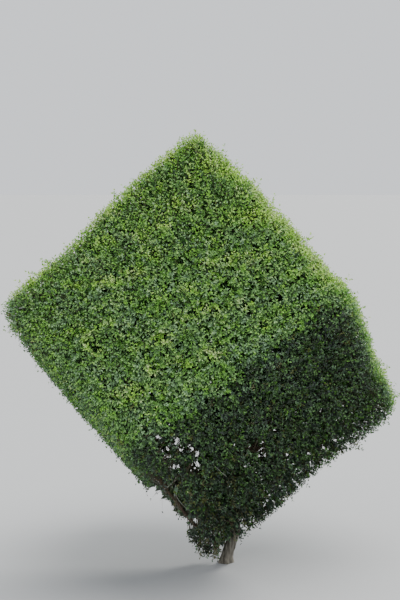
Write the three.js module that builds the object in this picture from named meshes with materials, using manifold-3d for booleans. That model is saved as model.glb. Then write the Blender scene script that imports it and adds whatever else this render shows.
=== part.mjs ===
// A small-leaved evergreen shrub on one short trunk, clipped as a cube that stands on a corner.
// Millimetres, +Z up. The origin is on the ground at the middle of the trunk's foot, where the
// flat cut under the trunk lies. The front of the plant looks along -Y.
import * as THREE from "three";
import { mergeVertices } from "three/addons/utils/BufferGeometryUtils.js";
import Module from "manifold-3d";

// Crown: six clipped faces. Azimuth 0 looks along -Y and 90 along +X; elevation is above level.
const CROWN_CENTRE = new THREE.Vector3(-90, -57, 870);
const FACES = {
  upper_front: { azimuth: -16.9, elevation: 30.9, distance: 505 },
  upper_right: { azimuth: 99.9, elevation: 36.5, distance: 515 },
  upper_left: { azimuth: -130.5, elevation: 31.5, distance: 502 },
  lower_right: { azimuth: 38.8, elevation: -34.6, distance: 501 },
  lower_back: { azimuth: 158.9, elevation: -31.8, distance: 505 },
  lower_left: { azimuth: -75.7, elevation: -39.8, distance: 515 },
};
const EDGE_ROUNDING = 100;
const MERGE_DISTANCE = 1e-3;

// Core of each foliage mass, which its shoots stand out of
const CORE_DEPTH = 25;
const CORE_LUMP = 7;
const CORE_INNER_SHARE = 0.45;
const CORE_WIDTH_SHARE = 0.992;
const CORE_CELLS = 6;
const WELL_LOW = { height: 70, radius: 30 };
const WELL_HIGH = { height: 520, radius: 95 };

// Shoots: one in each cell of a jittered grid on every face
const SHOOT_CELLS = 6;
const SHOOT_LENGTH = 70;
const SHOOT_ROOT_RADIUS = 3.4;
const SHOOT_TIP_RADIUS = 2.5;
const SHOOT_TIP_DEPTH = 11;
const SHOOT_TIP_SPREAD = 5;
const THREE_LEAF_SHARE = 0.35;
const STRAY_SHARE = 0.08;
const STRAY_EXTRA = 28;
const LEAF_LENGTH = 66;
const LEAF_OPENING = { middle: 66, spread: 13 };
const LEAF_WIDTH_SHARE = 0.5;
const LEAF_THICKNESS = 3;
const LEAF_STEP = 4;
const SPACE_MARGIN = 1.5;
const LIMB_MARGIN = 4;
const REDRAWS = 14;
const LEAF_REDRAWS = 4;

// Trunk and limbs
const TRUNK_RADIUS = 23;
const TRUNK_FLARE = 9;
const TRUNK_FLARE_HEIGHT = 17;
const TRUNK_LOBES = 5;
const TRUNK_TOP = 128;
const TRUNK_DOME = 40;
const TRUNK_LEAN = new THREE.Vector2(41, 4);
const TRUNK_SIDES = 14;
const TRUNK_RINGS = 9;
const FORK_DEPTH = 24;
const LIMB_SIDES = 6;
const LIMB_RINGS = 20;
const JOINT_GAP = 0.3;
const LEADER = { radius: 11.5, tipRadius: 6.5, stub: 2, tip: 15 };
const SIDE_BOUGH = { radius: 8, tipRadius: 5, stub: 4, tip: 14 };
const LEADER_SPREAD = 42;
const LEADER_LEAN = new THREE.Vector3(-34, 0, 0);
const SIDE_BOUGHS = {
  lower_right: { leaves: 42, along: 0.62, depth: 80, aside: -50 },
  lower_back: { leaves: 160, along: 0.6, depth: 85, aside: 35 },
  lower_left: { leaves: -82, along: 0.52, depth: 42, aside: 300 },
};

const wasm = await Module();
wasm.setup();

const UP = new THREE.Vector3(0, 0, 1);

function seeded(seed) {
  let state = seed >>> 0;
  return () => {
    state = (state + 0x6d2b79f5) >>> 0;
    let mixed = Math.imul(state ^ (state >>> 15), state | 1);
    mixed ^= mixed + Math.imul(mixed ^ (mixed >>> 7), mixed | 61);
    return ((mixed ^ (mixed >>> 14)) >>> 0) / 4294967296;
  };
}

function spread(random, amount) {
  return (random() * 2 - 1) * amount;
}

function moved(point, direction, distance) {
  return point.clone().addScaledVector(direction, distance);
}

// Solids

function solidFrom(geometry) {
  const merged = mergeVertices(geometry, MERGE_DISTANCE);
  const mesh = new wasm.Mesh({
    numProp: 3,
    vertProperties: new Float32Array(merged.attributes.position.array),
    triVerts: new Uint32Array(merged.index.array),
  });
  return new wasm.Manifold(mesh);
}

function solidOf(points, triangles) {
  const positions = points.flatMap((point) => [point.x, point.y, point.z]);
  const geometry = new THREE.BufferGeometry();
  geometry.setAttribute("position", new THREE.Float32BufferAttribute(positions, 3));
  geometry.setIndex(triangles);
  return solidFrom(geometry);
}

function geometryOf(solid) {
  const data = solid.getMesh();
  const geometry = new THREE.BufferGeometry();
  geometry.setAttribute("position", new THREE.BufferAttribute(data.vertProperties, 3));
  geometry.setIndex(new THREE.BufferAttribute(data.triVerts, 1));
  return geometry;
}

function joined(solids) {
  return wasm.Manifold.union(solids);
}

// The largest body alone, with its vertices merged: loose scraps are dropped and sealed
// hollows are filled.
function oneBody(solid) {
  const bodies = solidFrom(geometryOf(solid)).decompose();
  const largest = bodies.reduce((best, body) => (body.volume() > best.volume() ? body : best));
  return bodies.length > 1 ? oneBody(largest) : largest;
}

function meshOf(name, solid, colour, roughness) {
  const geometry = geometryOf(solid);
  geometry.computeVertexNormals();
  const material = new THREE.MeshStandardMaterial({ color: colour, roughness, metalness: 0 });
  const mesh = new THREE.Mesh(geometry, material);
  mesh.name = name;
  return mesh;
}

// Rings of equal length joined as a closed tube with a flat fan at each end.
function tubeOf(rings) {
  const sides = rings[0].length;
  const points = rings.flat();
  const triangles = [];
  for (let ring = 0; ring < rings.length - 1; ring++) {
    for (let side = 0; side < sides; side++) {
      const next = (side + 1) % sides;
      const low = ring * sides;
      const high = low + sides;
      triangles.push(low + side, low + next, high + next);
      triangles.push(low + side, high + next, high + side);
    }
  }
  const top = (rings.length - 1) * sides;
  for (let side = 1; side < sides - 1; side++) {
    triangles.push(0, side + 1, side);
    triangles.push(top, top + side, top + side + 1);
  }
  return solidOf(points, triangles);
}

// Crown faces

function directionOf(azimuth, elevation) {
  const a = THREE.MathUtils.degToRad(azimuth);
  const e = THREE.MathUtils.degToRad(elevation);
  return new THREE.Vector3(
    Math.sin(a) * Math.cos(e),
    -Math.cos(a) * Math.cos(e),
    Math.sin(e),
  );
}

const faces = Object.entries(FACES).map(([name, face]) => ({
  name,
  azimuth: face.azimuth,
  distance: face.distance,
  normal: directionOf(face.azimuth, face.elevation),
}));

function opposite(face) {
  const turned = (other) => other.normal.dot(face.normal);
  return faces.reduce((best, other) => (turned(other) < turned(best) ? other : best));
}

// The four faces around a face, in order round its normal.
function neighbours(face) {
  const across = UP.clone().cross(face.normal).normalize();
  const along = face.normal.clone().cross(across);
  const angle = (other) => Math.atan2(other.normal.dot(along), other.normal.dot(across));
  const around = faces.filter((other) => other !== face && other !== opposite(face));
  return around.sort((one, two) => angle(one) - angle(two));
}

// The sharp corner, measured from the crown's centre, where three faces' planes meet.
function cornerOf(one, two, three) {
  const volume = one.normal.dot(two.normal.clone().cross(three.normal));
  return new THREE.Vector3()
    .addScaledVector(two.normal.clone().cross(three.normal), one.distance)
    .addScaledVector(three.normal.clone().cross(one.normal), two.distance)
    .addScaledVector(one.normal.clone().cross(two.normal), three.distance)
    .divideScalar(volume);
}

faces.forEach((face) => {
  const ring = neighbours(face);
  face.corners = ring.map((other, i) => cornerOf(face, other, ring[(i + 1) % 4]));
});

// A place on a face's sharp plane from two shares of -1 to 1, as an offset from the centre.
function onFace(face, s, t) {
  const [a, b, c, d] = face.corners;
  const low = a.clone().lerp(b, (s + 1) / 2);
  const high = d.clone().lerp(c, (s + 1) / 2);
  return low.lerp(high, (t + 1) / 2);
}

// How deep an offset from the centre lies under the clipped surface, whose edges are rounded.
function depthOf(offset) {
  let squares = 0;
  for (const face of faces) {
    const past = face.normal.dot(offset) - face.distance + EDGE_ROUNDING;
    if (past > 0) squares += past * past;
  }
  return EDGE_ROUNDING - Math.sqrt(squares);
}

// The point on the ray through a place on a face that lies at a depth under the surface.
function surfacePoint(face, s, t, depth) {
  const ray = onFace(face, s, t);
  let near = 0.3;
  let far = 1.5;
  for (let step = 0; step < 26; step++) {
    const middle = (near + far) / 2;
    if (depthOf(ray.clone().multiplyScalar(middle)) > depth) near = middle;
    else far = middle;
  }
  return ray.multiplyScalar(near).add(CROWN_CENTRE);
}

// Each face's foliage keeps to the pyramid between the crown's centre and that face.
function inSpace(face, point) {
  const offset = point.clone().sub(CROWN_CENTRE);
  const share = face.normal.dot(offset) / face.distance;
  return faces.every((other) => {
    if (other === face) return true;
    const lead = share - other.normal.dot(offset) / other.distance;
    return lead * face.distance * Math.SQRT1_2 > SPACE_MARGIN;
  });
}

// Trunk and limbs

function trunkAxis(height) {
  const share = height / TRUNK_TOP;
  const bend = Math.pow(share, 1.25);
  return new THREE.Vector3(TRUNK_LEAN.x * bend, TRUNK_LEAN.y * bend, height);
}

function trunkRadius(height, angle) {
  const flare = TRUNK_FLARE * Math.exp(-height / TRUNK_FLARE_HEIGHT);
  const lobes = 1 + 0.55 * Math.cos(TRUNK_LOBES * angle + 0.6);
  const closing = THREE.MathUtils.smoothstep(height, TRUNK_TOP - TRUNK_DOME, TRUNK_TOP);
  return (TRUNK_RADIUS + flare * lobes) * (1 - 0.45 * closing);
}

function trunkSolid(grown = 0) {
  const rings = [];
  for (let ring = 0; ring <= TRUNK_RINGS; ring++) {
    const height = TRUNK_TOP * Math.pow(ring / TRUNK_RINGS, 1.3);
    const middle = trunkAxis(height);
    const points = [];
    for (let side = 0; side < TRUNK_SIDES; side++) {
      const angle = (side / TRUNK_SIDES) * Math.PI * 2;
      const radius = trunkRadius(height, angle) + grown;
      points.push(new THREE.Vector3(
        middle.x + radius * Math.cos(angle),
        middle.y + radius * Math.sin(angle),
        height,
      ));
    }
    rings.push(points);
  }
  return tubeOf(rings);
}

// A leader rises round the plant's axis, opens out in the hollow middle and enters an upper mass.
function leaderPath(face) {
  const out = directionOf(face.azimuth, 0);
  const foot = trunkAxis(TRUNK_TOP - FORK_DEPTH);
  const leaning = (share) => foot.clone().lerp(CROWN_CENTRE, share).add(LEADER_LEAN);
  return [
    foot,
    moved(moved(foot, UP, 52), out, 17),
    moved(leaning(0.24), out, LEADER_SPREAD * 0.75),
    moved(leaning(0.48), out, LEADER_SPREAD),
    moved(moved(CROWN_CENTRE, face.normal, face.distance * 0.28), UP, -45),
    moved(CROWN_CENTRE, face.normal, face.distance * CORE_INNER_SHARE + 10),
    moved(CROWN_CENTRE, face.normal, face.distance - 130),
  ];
}

// A side bough leaves the fork flatter and runs up under a lower face into its mass.
function sideBoughPath(face) {
  const { leaves, along, depth, aside } = SIDE_BOUGHS[face.name];
  const out = directionOf(leaves, 0);
  const across = UP.clone().cross(face.normal).normalize();
  const foot = trunkAxis(TRUNK_TOP - FORK_DEPTH);
  const bottom = cornerOf(...faces.filter((other) => other.normal.z < 0)).add(CROWN_CENTRE);
  const middle = moved(CROWN_CENTRE, face.normal, face.distance);
  const place = (share) => moved(
    moved(bottom.clone().lerp(middle, share), face.normal, -depth),
    across,
    aside * share,
  );
  return [
    foot,
    moved(moved(foot, UP, 27), out, 36),
    place(along * 0.55),
    place(along),
    place(along + 0.22),
  ];
}

function limbOf(face) {
  const leads = face.normal.z > 0;
  const sizes = leads ? LEADER : SIDE_BOUGH;
  const points = leads ? leaderPath(face) : sideBoughPath(face);
  const curve = new THREE.CatmullRomCurve3(points, false, "centripetal");
  const frames = curve.computeFrenetFrames(LIMB_RINGS, false);
  const rings = frames.tangents.map((tangent, i) => ({
    middle: curve.getPointAt(i / LIMB_RINGS),
    tangent,
    across: frames.normals[i],
    along: frames.binormals[i],
    radius: THREE.MathUtils.lerp(sizes.radius, sizes.tipRadius, i / LIMB_RINGS),
  }));
  return { ...sizes, rings };
}

// A length of a limb between two of its rings. A length that another one leads up to starts
// a joint's gap further on.
function limbLength(limb, first, last, grown = 0) {
  const rings = limb.rings.slice(first, last + 1).map((ring, i, all) => {
    let shift = i === 0 && first > 0 ? JOINT_GAP - grown : 0;
    if (i === all.length - 1) shift = grown;
    const middle = moved(ring.middle, ring.tangent, shift);
    const points = [];
    for (let side = 0; side < LIMB_SIDES; side++) {
      const angle = (side / LIMB_SIDES) * Math.PI * 2;
      const out = ring.across.clone().multiplyScalar(Math.cos(angle));
      out.addScaledVector(ring.along, Math.sin(angle));
      points.push(moved(middle, out, ring.radius + grown));
    }
    return points;
  });
  return tubeOf(rings);
}

faces.forEach((face) => {
  face.limb = limbOf(face);
});

// The space round the trunk and all the boughs that foliage stays out of.
const limbSpace = joined([
  trunkSolid(LIMB_MARGIN),
  ...faces.map(({ limb }) => limbLength(limb, 0, limb.tip, LIMB_MARGIN)),
]);

function touchesLimbs(solid) {
  return !solid.intersect(limbSpace).isEmpty();
}

// Foliage masses

function coreSolid(face, random) {
  const outer = [];
  const inner = [];
  const cells = CORE_CELLS;
  for (let row = 0; row <= cells; row++) {
    for (let column = 0; column <= cells; column++) {
      const s = ((column / cells) * 2 - 1) * CORE_WIDTH_SHARE;
      const t = ((row / cells) * 2 - 1) * CORE_WIDTH_SHARE;
      outer.push(surfacePoint(face, s, t, CORE_DEPTH + spread(random, CORE_LUMP)));
      inner.push(onFace(face, s, t).multiplyScalar(CORE_INNER_SHARE).add(CROWN_CENTRE));
    }
  }
  const width = cells + 1;
  const rim = [];
  for (let i = 0; i < cells; i++) rim.push(i);
  for (let i = 0; i < cells; i++) rim.push(i * width + cells);
  for (let i = cells; i > 0; i--) rim.push(cells * width + i);
  for (let i = cells; i > 0; i--) rim.push(i * width);
  const points = [...outer, ...rim.map((index) => inner[index])];
  const below = outer.length;
  const triangles = [];
  for (let row = 0; row < cells; row++) {
    for (let column = 0; column < cells; column++) {
      const a = row * width + column;
      const b = a + 1;
      const c = b + width;
      const d = a + width;
      if (random() < 0.5) triangles.push(a, b, c, a, c, d);
      else triangles.push(a, b, d, b, c, d);
    }
  }
  rim.forEach((index, i) => {
    const j = (i + 1) % rim.length;
    triangles.push(index, below + i, below + j);
    triangles.push(index, below + j, rim[j]);
    if (i > 0 && i < rim.length - 1) triangles.push(below, below + j, below + i);
  });
  return solidOf(points, triangles);
}

// A six-pointed blade of eight faces that is folded a little along its middle.
function leafPoints(base, along, facing, length) {
  const across = along.clone().cross(facing).normalize();
  const above = across.clone().cross(along).normalize();
  const middle = moved(base, along, length * 0.48);
  const half = (length * LEAF_WIDTH_SHARE) / 2;
  return [
    base,
    moved(base, along, length),
    moved(moved(middle, across, half), above, length * 0.07),
    moved(moved(middle, across, -half), above, length * 0.07),
    moved(middle, above, LEAF_THICKNESS / 2),
    moved(middle, above, -LEAF_THICKNESS / 2),
  ];
}

function leafSolid(points) {
  return solidOf(points, [
    0, 2, 4, 4, 2, 1, 0, 4, 3, 3, 4, 1,
    0, 5, 2, 2, 5, 1, 0, 3, 5, 5, 3, 1,
  ]);
}

// The three directions that a twig's flat sides look in, at right angles to it.
function twigSides(along, turn) {
  const start = along.clone().cross(UP).normalize().applyAxisAngle(along, turn);
  return [0, 1, 2].map((side) => start.clone().applyAxisAngle(along, (side / 3) * Math.PI * 2));
}

function twigSolid(root, tip, sides) {
  const ring = (middle, radius) => sides.map((side) => moved(middle, side, -radius));
  return tubeOf([ring(root, SHOOT_ROOT_RADIUS), ring(tip, SHOOT_TIP_RADIUS)]);
}

// One shoot in a cell of a face: a three-sided twig, rooted in the core, with two or three leaves
// set round it. It is drawn again while it leaves its mass's space or touches a limb.
function shootSolids(face, row, column, random) {
  const cell = (index) => ((index + 0.5 + spread(random, 0.36)) / SHOOT_CELLS) * 2 - 1;
  const stray = random() < STRAY_SHARE ? STRAY_EXTRA : 0;
  for (let draw = 0; draw < REDRAWS; draw++) {
    const s = cell(column);
    const t = cell(row);
    const depth = SHOOT_TIP_DEPTH + spread(random, SHOOT_TIP_SPREAD) - stray;
    const tip = surfacePoint(face, s, t, depth);
    const along = tip.clone().sub(CROWN_CENTRE).normalize();
    along.addScaledVector(face.normal, 0.8).addScaledVector(UP, 0.25);
    along.add(new THREE.Vector3(spread(random, 0.3), spread(random, 0.3), spread(random, 0.3)));
    along.normalize();
    const root = moved(tip, along, -SHOOT_LENGTH - stray);
    if (!inSpace(face, tip) || !inSpace(face, root)) continue;
    const sides = twigSides(along, random() * Math.PI * 2);
    const twig = twigSolid(root, tip, sides);
    if (touchesLimbs(twig)) continue;
    const leaves = leavesOf(face, root, tip, along, sides, random);
    if (leaves.length >= 2) return [twig, ...leaves];
  }
  return [];
}

// Leaves stand on the twig's flat sides near its tip, each a little lower than the one before.
function leavesOf(face, root, tip, along, sides, random) {
  const wanted = random() < THREE_LEAF_SHARE ? 3 : 2;
  const leaves = [];
  for (const side of sides) {
    if (leaves.length === wanted) break;
    for (let draw = 0; draw < LEAF_REDRAWS; draw++) {
      const out = side.clone().applyAxisAngle(along, spread(random, 0.25));
      const opening = LEAF_OPENING.middle + spread(random, LEAF_OPENING.spread);
      const open = THREE.MathUtils.degToRad(opening);
      const axis = along.clone().multiplyScalar(Math.cos(open));
      axis.addScaledVector(out, Math.sin(open));
      const base = moved(tip, along, -LEAF_STEP * (leaves.length + 0.6));
      const length = LEAF_LENGTH * (0.85 + random() * 0.3);
      const points = leafPoints(base, axis, along, length);
      if (!points.every((point) => inSpace(face, point))) continue;
      const solid = leafSolid(points);
      if (touchesLimbs(solid)) continue;
      leaves.push(solid);
      break;
    }
  }
  return leaves;
}

// The well round the trunk and the foot of the limbs that the lower cores are cut back from.
function wellSolid() {
  const sides = 12;
  const rings = [WELL_LOW, WELL_HIGH].map(({ height, radius }) => {
    const foot = trunkAxis(TRUNK_TOP);
    const share = (height - foot.z) / (CROWN_CENTRE.z - foot.z);
    const middle = foot.clone().lerp(CROWN_CENTRE, share);
    const points = [];
    for (let side = 0; side < sides; side++) {
      const angle = (side / sides) * Math.PI * 2;
      points.push(new THREE.Vector3(
        middle.x + radius * Math.cos(angle),
        middle.y + radius * Math.sin(angle),
        height,
      ));
    }
    return points;
  });
  return tubeOf(rings);
}

function massSolid(face, cutAway, seed) {
  const random = seeded(seed);
  const { limb } = face;
  const core = oneBody(coreSolid(face, random).subtract(cutAway));
  const pieces = [core, limbLength(limb, limb.tip, LIMB_RINGS)];
  for (let row = 0; row < SHOOT_CELLS; row++) {
    for (let column = 0; column < SHOOT_CELLS; column++) {
      pieces.push(...shootSolids(face, row, column, random));
    }
  }
  return oneBody(joined(pieces));
}

// The whole plant

const group = new THREE.Group();
group.name = "clipped_shrub";

const stubs = faces.map(({ limb }) => limbLength(limb, 0, limb.stub));
group.add(meshOf("trunk", oneBody(joined([trunkSolid(), ...stubs])), 0x8b7a66, 0.9));

const cutAway = joined([limbSpace, wellSolid()]);
faces.forEach((face, i) => {
  const { limb } = face;
  const bough = limbLength(limb, limb.stub, limb.tip);
  group.add(meshOf("bough_" + face.name, bough, 0x7d5f4a, 0.88));
  const mass = massSolid(face, cutAway, 4100 + i * 37);
  const colour = face.normal.z > 0 ? 0x5f8a2e : 0x39591f;
  group.add(meshOf("foliage_" + face.name, mass, colour, 0.65));
});

export default group;
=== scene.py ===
import math
from typing import NamedTuple

import bpy
import numpy as np
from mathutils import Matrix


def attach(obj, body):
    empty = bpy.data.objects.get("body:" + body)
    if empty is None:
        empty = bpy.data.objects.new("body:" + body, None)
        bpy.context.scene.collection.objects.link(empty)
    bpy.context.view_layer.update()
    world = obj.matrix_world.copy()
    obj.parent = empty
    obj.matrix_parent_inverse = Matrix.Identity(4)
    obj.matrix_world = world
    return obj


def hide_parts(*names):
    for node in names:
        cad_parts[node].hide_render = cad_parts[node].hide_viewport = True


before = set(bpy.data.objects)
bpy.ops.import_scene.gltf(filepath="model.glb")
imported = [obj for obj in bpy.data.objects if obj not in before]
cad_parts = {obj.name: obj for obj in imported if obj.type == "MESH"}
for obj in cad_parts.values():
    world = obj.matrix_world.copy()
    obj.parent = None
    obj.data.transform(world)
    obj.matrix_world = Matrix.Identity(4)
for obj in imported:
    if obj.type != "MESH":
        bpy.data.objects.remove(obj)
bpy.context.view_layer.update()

# The draws for each face's mass start from this seed plus the face's number
SEED = 4519

# Crown: six clipped faces, as azimuth, elevation and distance from the crown's centre
CROWN_CENTRE = np.array((-0.090, -0.057, 0.870))
FACES = {
    "upper_front": (-16.9, 30.9, 0.505),
    "upper_right": (99.9, 36.5, 0.515),
    "upper_left": (-130.5, 31.5, 0.502),
    "lower_right": (38.8, -34.6, 0.501),
    "lower_back": (158.9, -31.8, 0.505),
    "lower_left": (-75.7, -39.8, 0.515),
}
EDGE_ROUNDING = 0.100

# The clipped surface is found by halving between two shares of a ray to a sharp face
SEARCH_SHARES = (0.3, 1.5)
SEARCH_STEPS = 26
SEARCH_DEEPEST = 0.9 * EDGE_ROUNDING

# Trunk
TRUNK_RADIUS = 0.023
TRUNK_FLARE = 0.009
TRUNK_FLARE_HEIGHT = 0.017
TRUNK_LOBES = 5
TRUNK_LOBE_DEPTH = 0.55
TRUNK_LOBE_TURN = 0.6
TRUNK_TOP = 0.128
TRUNK_DOME = 0.040
TRUNK_DOME_NARROWING = 0.45
TRUNK_LEAN = (0.041, 0.004)
TRUNK_BEND = 1.25
TRUNK_SIDES = 36
TRUNK_RINGS = 40
BARK_GRAIN = 0.0022
CUT_HEIGHT = 0.0020

# Limbs, with stub and tip in rings of the source. They rise and reach out at the fork.
# The middle of a leader is given as shares of the way to the crown's centre and of the spread.
LIMB_RINGS = 20
FORK_DEPTH = 0.024
LEADER = {"radii": (0.0115, 0.0065), "stub": 2, "tip": 15}
LEADER_SPREAD = 0.042
LEADER_LEAN = (-0.034, 0.0, 0.0)
LEADER_FORK = (0.052, 0.017)
LEADER_MIDDLE = ((0.24, 0.75), (0.48, 1.0))
LEADER_TURN = 0.28
LEADER_TURN_DROP = 0.045
LEADER_ENTRY = 0.45
LEADER_ENTRY_MARGIN = 0.010
LEADER_END_DEPTH = 0.130
SIDE_BOUGH = {"radii": (0.008, 0.005), "stub": 4, "tip": 14}
SIDE_BOUGH_FORK = (0.027, 0.036)
SIDE_BOUGH_BEND = 0.55
SIDE_BOUGH_PAST = 0.22
SIDE_BOUGHS = {
    "lower_right": {"leaves": 42, "along": 0.62, "depth": 0.080, "aside": -0.050},
    "lower_back": {"leaves": 160, "along": 0.60, "depth": 0.085, "aside": 0.035},
    "lower_left": {"leaves": -82, "along": 0.52, "depth": 0.042, "aside": 0.300},
}

# The limbs' rings are this many times finer here, and a bough's bark starts inside its stub
FINER = 4
BARK_OVERLAP = 2
CURVE_STEPS = 60
STUB_SIDES = 12
BOUGH_SIDES = 14
STEM_SIDES = 10
BRANCH_SIDES = 5
BRANCHLET_SIDES = 3
BARE_TWIG_SIDES = 4

# Bark runs up the wood, as heights count by this share in its colours and the trunk's ridges,
# and by the second one in the boughs' ridges
BARK_STRETCH = (1.0, 1.0, 0.22)
BOUGH_STRETCH = (1.0, 1.0, 0.5)

# What differs between the masses: the cells of the outer and the inner shoots, the old leaves
# on a branchlet and their tones, how far tones vary from shoot to shoot and from leaf to leaf,
# and the share of olive leaves
UPPER_MASS = {
    "outer": 70, "inner": 30, "old": 70, "old_tones": (3, 4, 4),
    "tone": 0.20, "leaf_tone": 0.30, "olive": 0.002,
}
# Painted shade: the lower masses' old leaves take darker tones than the upper ones'
LOWER_MASS = {
    "outer": 57, "inner": 24, "old": 40, "old_tones": (4, 5, 5),
    "tone": 0.70, "leaf_tone": 0.75, "olive": 0.025,
}

# All in a mass grows away from the centre, off its face and upwards, by these shares
OFF_FACE = 0.8
UPWARD = 0.25

# One branch grows from the mass's stem to each cell of a face
BRANCH_CELLS = 6
BRANCH_JITTER = 0.2
BRANCH_START_SPREAD = 0.15
BRANCH_LOWEST_START = 0.02
BRANCH_END_DEPTH = 0.098
BRANCH_END_SPREAD = 0.012
BRANCH_PULLS = (0.35, 0.30)
BRANCH_STEPS = 6
BRANCH_RADII = (0.0042, 0.0020)
BRANCH_LENGTH = 0.35
BRANCH_THICKENING = (0.7, 1.3)

# Branchlets grow from each branch to the parts of its cell, which get their jitter last
BRANCHLET_CELLS = 3
BRANCHLET_JITTER = 0.3
BRANCHLET_STARTS = (0.72, 0.98)
BRANCHLET_END_DEPTH = 0.034
BRANCHLET_END_SPREAD = 0.008
BRANCHLET_LIFT = 0.3
BRANCHLET_PULLS = (0.3, 0.4)
BRANCHLET_STEPS = 3
BRANCHLET_RADII = (0.0019, 0.0011)

# Leafy shoots grow from the branchlets, one to each cell: outer ones up to the clipped surface
# and inner ones under them
SHOOT_JITTER = 0.48
FACE_EDGE = 0.999
SHOOT_LENGTH = (0.034, 0.050)
SHOOT_RADIUS = 0.0011
SHOOT_WANDER = 0.6
SHOOT_SINKING = 0.8
OUTER_DEPTH = (-0.004, 0.012)
INNER_DEPTH = (0.016, 0.065)
STRAY_SHARE = 0.03
STRAY_REACH = (0.008, 0.026)

# How clear of wood and ground everything stays
SHOOT_TIP_CLEARANCE = 0.006
SHOOT_FOOT_CLEARANCE = 0.002
BARE_TWIG_CLEARANCE = 0.004
OLD_LEAF_CLEARANCE = 0.010
SHOOT_LOWEST = 0.016
LOWEST = 0.020

# Leaves stand in opposite pairs, each pair turned a quarter from the one below. Their size and
# their opening from the shoot, in degrees, get smaller towards its tip.
LEAF_PAIRS = 4
SHADED_JOINTS = 2
LOWEST_JOINT = 0.30
JOINTS_SHARE = 0.68
LEAF_LENGTH = 0.0125
LEAF_LENGTH_SHARES = (0.78, 1.18)
INNER_LEAF_SHARE = 1.25
LOW_LEAF_SHARE = 1.10
HIGH_LEAF_LOSS = 0.40
LEAF_OPENING = 74
LEAF_OPENING_LOSS = 32
LEAF_OPENING_SPREAD = 12
LEAF_TURN_SPREAD = 0.22
LEAF_ROLL_SPREAD = 0.35
LEAF_FOOT_SPREAD = 0.0015

# A leaf's width, rim, fold and drooping tip as shares of its length and width, and the corners
# of its faces. Leaves deeper in the crown are flat.
FOLDED_LEAF = {
    "width": 0.58, "rim": ((0.27, 0.44), (0.68, 0.40)), "fold": 0.16, "drop": 0.07,
    "faces": ((0, 1, 2, 3), (0, 3, 4, 5)),
}
FLAT_LEAF = {
    "width": 0.58, "rim": ((0.45, 0.50),), "fold": 0, "drop": 0, "faces": ((0, 1, 2, 3),),
}
OLD_LEAF = {**FLAT_LEAF, "width": 0.68}

# Old leaves, larger and darker, stand round the branchlets and close the crown. Their dark tones
# are partly their own colour and partly painted shade inside the crown.
OLD_LEAF_LENGTH = 0.027
OLD_LEAF_LENGTH_SHARES = (0.75, 1.2)
OLD_LEAF_REACH = 0.042
OLD_LEAF_NEAREST = 0.2
OLD_LEAF_LIFT = 0.9
OLD_LEAF_SPREAD = 0.3
OLD_LEAF_TILT = 0.7
OLD_LEAF_DEPTH = 0.030

# The lowest corner of the crown droops raggedly beside the trunk, and the trunk stands clear
# of leaves on the viewer's side
DROOP = 0.050
DROOP_REACH = 0.200
CLEAR_HEIGHT = 0.108
CLEAR_WIDTH = 0.034

# Bare pale twigs show low down and lie aslant just under the clipped surface
BARE_TWIGS = 14
BARE_TWIG_HEIGHT = 0.52
BARE_TWIG_LENGTH = (0.06, 0.12)
BARE_TWIG_OUT = (0.035, 0.042)
BARE_TWIG_PULL = 0.5
BARE_TWIG_STEPS = 5
BARE_TWIG_RADII = (0.0013, 0.00065)

# The photograph's camera
VIEWER = (-0.103, -5.288, 1.5)
VIEW_PITCH = 4.72
LENS = 80
SENSOR_WIDTH = 36
FOCAL_PIXELS = 1333
PHOTO_MIDDLE = (200, 300)

# Two more bare twigs, from foot to tip, fork off the lower left bough towards the viewer.
# Lengths from here to THIN_SIDE are in the photograph's pixels, except FORKED_TWIG_RADII and
# SPRIG_REACH.
FORKED_TWIGS = (((163, 488), (151, 474)), ((165, 489), (177, 476)))
FORKED_TWIG_RADII = (0.0026, 0.00156)
FORKED_TWIG_STEPS = 8
FORKED_TWIG_REACH = 5.2
FORKED_TWIG_NEARER = 14

# Light shows through the lower crown at these places, each with a radius
LIGHT_GAPS = (
    (164, 447, 5), (168, 458, 4), (174, 466, 5), (181, 449, 4), (194, 468, 6), (175, 441, 4),
    (158, 438, 3), (190, 449, 3), (197, 454, 3), (256, 446, 6), (263, 453, 5), (230, 440, 2),
    (268, 421, 2), (275, 431, 2), (291, 421, 2), (294, 440, 2), (287, 454, 2), (304, 430, 2),
    (308, 453, 2), (321, 411, 2), (323, 447, 2), (335, 439, 2), (344, 403, 2), (353, 412, 2),
    (364, 423, 2), (377, 406, 2),
)
LIGHT_GAP_REACH = 1.35

# In opened places this share of the leaves stays, and no shoots grow in the middle
OPENED_KEPT = 0.10
SHOOTLESS_WIDTH = 0.50

# Longer sprigs stand out of the outline at these places, each with a radius
SPRIGS = (
    (23, 284, 3), (34, 273, 3), (47, 262, 3), (116, 196, 3), (195, 138, 3), (226, 153, 3),
    (256, 187, 3), (271, 201, 3), (306, 240, 3), (325, 256, 3), (341, 283, 3), (380, 365, 3),
    (391, 393, 3), (355, 443, 3),
)
SPRIG_SHARE = 0.28
SPRIG_REACH = (0.018, 0.036)

# The lower left bough shows through foliage that is thin before it and on its outer side
THIN_REACH = 4.5
THIN_LOWEST = 514
THIN_HIDDEN_RINGS = 4
THIN_MARGIN = 3
THIN_SIDE = 16

# Where the light painted into the leaf tones comes from, as directions seen from the crown: the
# brightest sky, the sunny side beyond the crown and the open side. The last two start at a share
# of facing and rise steeply.
SKY_SIDE = (0.0, 0.25, 1.0)
SUNNY_SIDE = ((0.80, 0.45, 0.45), 0.55, 5)
OPEN_SIDE = ((-0.90, -0.35, 0.15), 0.50, 4)

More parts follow.
